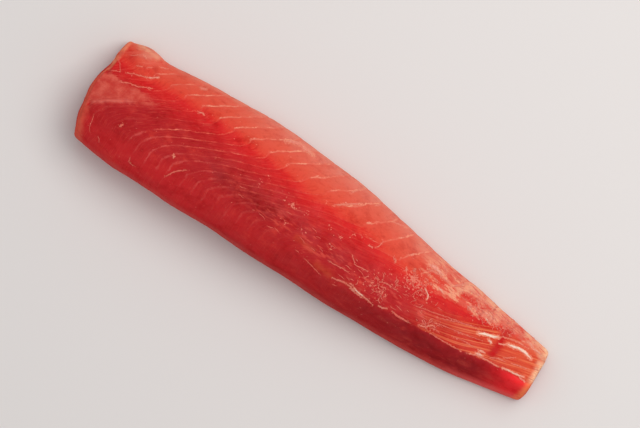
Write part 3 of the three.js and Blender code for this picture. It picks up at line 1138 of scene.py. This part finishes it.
loinFlesh = buildLoin()
evenEnds(loinFlesh.data)
shapeLoin(loinFlesh.data)
loinFlesh.data.materials.clear()
loinFlesh.data.materials.append(fleshFinish())
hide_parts("tuna_loin")
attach(loinFlesh, "root")
print("flesh:", len(loinFlesh.data.polygons), "faces")

threadHues = {
    "thin": srgb(224, 94, 80),
    "middle": srgb(234, 128, 108),
    "thick": srgb(252, 210, 190),
}


def connectiveFinish():
    # fat and tendon: the thinner they lie, the more the red shows through
    white = Finish("connective")
    here = white.places()
    pale = white.field("pale") + (white.grain(here, 420, 3) - 0.5) * 0.7
    colour = white.blend((pale * 2).clamped(), threadHues["thin"], threadHues["middle"])
    colour = white.blend((pale * 2 - 1).clamped(), colour, threadHues["thick"])
    white.surface(
        BaseColor=colour,
        Roughness=white.grain(here, 200, 2) * 0.2 + 0.35,
        Normal=white.relief(white.grain(here, 900, 3), 0.15 * mm, 0.6),
        IOR=1.4,
        SpecularIORLevel=0.15,
        SubsurfaceWeight=0.3,
        SubsurfaceRadius=(1.0, 0.4, 0.25),
        SubsurfaceScale=2 * mm,
    )
    return white.material


connective = connectiveFinish()

tendonSizes = {
    "Step": 0.8 * mm,
    "Bends": 260.0,
    "Stray": 0.9 * mm,
    "Knots": 700.0,
    "Ragged": 0.9,
    "Flatness": 0.3,
    "Sides": 8,
    "Grain": 900.0,
    "Rough": 0.12 * mm,
}


def layTendons():
    # the listed paths as chains of edges, and the strands grown along them on the flesh
    points, edges, widths, pales = [], [], [], []
    for width, pale, path in sum(tendons.values(), []):
        start = len(points)
        points += [(low.x + share * length * mm, y * mm, high.z) for share, y in path]
        edges += [(i, i + 1) for i in range(start, len(points) - 1)]
        widths += [width * mm] * len(path)
        pales += [pale] * len(path)
    mesh = bpy.data.meshes.new("loin_tendons")
    mesh.from_pydata(points, edges, [])
    for name, values in (("width", widths), ("pale", pales)):
        mesh.attributes.new(name, "FLOAT", "POINT").data.foreach_set("value", values)

    tree = Growth("tendons", loinFlesh, connective, tendonSizes)
    path = tree.put("GeometryNodeMeshToCurve", Mesh=tree.size("Geometry"))
    path = tree.put("GeometryNodeCurveSplineType", {"spline_type": "CATMULL_ROM"}, Curve=path)
    path = tree.put("GeometryNodeResampleCurve", {"mode": "LENGTH"}, Curve=path, Length=tree.size("Step"))
    above = tree.arrows("ADD", tree.place(), tree.stray(tree.size("Bends"), tree.size("Stray")))
    values = {
        "TargetGeometry": tree.skin,
        "SourcePosition": above,
        "RayDirection": (0, 0, -1),
        "RayLength": 1.0,
    }
    hit = tree.put("GeometryNodeRaycast", {"data_type": "FLOAT"}, give="HitPosition", **values)
    path = tree.moved(path, Position=hit)
    along = tree.put("GeometryNodeSplineParameter", give="Factor")
    taper = along.between(0, 0.25) * (1 - along.between(0.7, 1)) * 0.85 + 0.15
    ragged = (tree.grain(tree.place(), tree.size("Knots")) - 0.5) * tree.size("Ragged") * 2 + 1
    radius = tree.named("width") * 0.5 * taper * ragged
    strand = tree.swept(path, radius, tree.size("Flatness"), tree.size("Sides"))
    strand = tree.moved(strand, Offset=tree.stray(tree.size("Grain"), tree.size("Rough")))
    return tree.run(link("loin_tendons", mesh), strand)


# Shreds of tendon left where the knife scraped: what both sorts share, and then what is each sort's own.
# cover names the flesh's attribute that says where they lie.
threadSizes = {
    "Points": 14,
    "Thickness": 0.65 * mm,
    "Knots": 250.0,
    "Flatness": 0.6,
    "Sides": 5,
    "Blush": 120.0,
}
threads = {
    "loin_threads": {
        "cover": "scraped",
        "sizes": {
            "Density": 50000.0,  # for each square metre that is quite covered
            "Shortest": 2.0 * mm,
            "Longest": 8.0 * mm,
            "Turn": math.pi,
            "Curl": 5.0 * mm,
            "Lumps": 240.0,
            "Lift": 0.1 * mm,
            "Pale": -0.22,
            "Seed": 4,
        },
    },
    "loin_shreds": {
        "cover": "strewn",
        "sizes": {
            "Density": 10000.0,
            "Shortest": 3.0 * mm,
            "Longest": 10.0 * mm,
            "Turn": 0.35,
            "Curl": 1.5 * mm,
            "Lumps": 260.0,
            "Lift": 0.0,
            "Pale": -0.5,
            "Seed": 12,
        },
    },
}


def strewThreads(name, cover, sizes):
    tree = Growth(name, loinFlesh, connective, {**threadSizes, **sizes})
    spots, up = tree.scatter(tree.named(cover))
    turn = tree.chance(tree.size("Turn") * -1, tree.size("Turn"), 5)
    spin = tree.put("FunctionNodeAxisAngleToRotation", Axis=(0, 0, 1), Angle=turn)
    bit = tree.put("GeometryNodeCurvePrimitiveLine", Start=(-0.5, 0, 0), End=(0.5, 0, 0))
    bit = tree.put("GeometryNodeResampleCurve", {"mode": "COUNT"}, Curve=bit, Count=tree.size("Points"))
    reach = tree.chance(tree.size("Shortest"), tree.size("Longest"), 6)
    path = tree.sown(bit, spots, reach, up, Rotation=spin)
    path = tree.moved(path, Offset=tree.stray(tree.size("Lumps"), tree.size("Curl")))
    lift = tree.arrows("SCALE", tree.onSkin(tree.normal()), Scale=tree.size("Lift"))
    path = tree.moved(path, Position=tree.arrows("ADD", tree.onSkin(tree.place()), lift))
    along = tree.put("GeometryNodeSplineParameter", give="Factor")
    taper = along.between(0, 0.3) * (1 - along.between(0.6, 1)) * 0.7 + 0.3
    radius = tree.size("Thickness") * taper * (tree.grain(tree.place(), tree.size("Knots")) + 0.1)
    strand = tree.swept(path, radius, tree.size("Flatness"), tree.size("Sides"))
    strand = tree.paled(strand, tree.grain(tree.place(), tree.size("Blush")) + tree.size("Pale"))
    return tree.run(link(name, bpy.data.meshes.new(name)), strand)


fleckSizes = {
    "Density": 80000.0,
    "Smallest": 0.25 * mm,
    "Largest": 0.75 * mm,
    "Flatness": 0.4,
    "Grain": 800.0,
    "Rough": 0.35 * mm,
    "Blush": 90.0,
    "Pale": -0.2,
    "Seed": 9,
}


def strewFlecks():
    # crumbs of fat
    tree = Growth("flecks", loinFlesh, connective, fleckSizes)
    fat = tree.named("fat") * tree.named("gloss")
    spots, up = tree.scatter(tree.named("scraped") * 0.7 + tree.named("crumbed") + fat * 0.15)
    bit = tree.put("GeometryNodeMeshIcoSphere", Radius=1.0, Subdivisions=2)
    size = tree.chance(tree.size("Smallest"), tree.size("Largest"), 7)
    sizes = tree.vector(size * tree.chance(0.8, 1.8, 8), size, size * tree.size("Flatness"))
    flecks = tree.sown(bit, spots, sizes, up)
    flecks = tree.moved(flecks, Offset=tree.stray(tree.size("Grain"), tree.size("Rough")))
    flecks = tree.paled(flecks, tree.grain(tree.place(), tree.size("Blush")) + tree.size("Pale"))
    return tree.run(link("loin_flecks", bpy.data.meshes.new("loin_flecks")), flecks)


def dressWith(piece):
    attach(piece, "root")
    print(piece.name + ":", len(piece.data.polygons), "faces")


dressWith(layTendons())
for name, sort in threads.items():
    dressWith(strewThreads(name, **sort))
dressWith(strewFlecks())
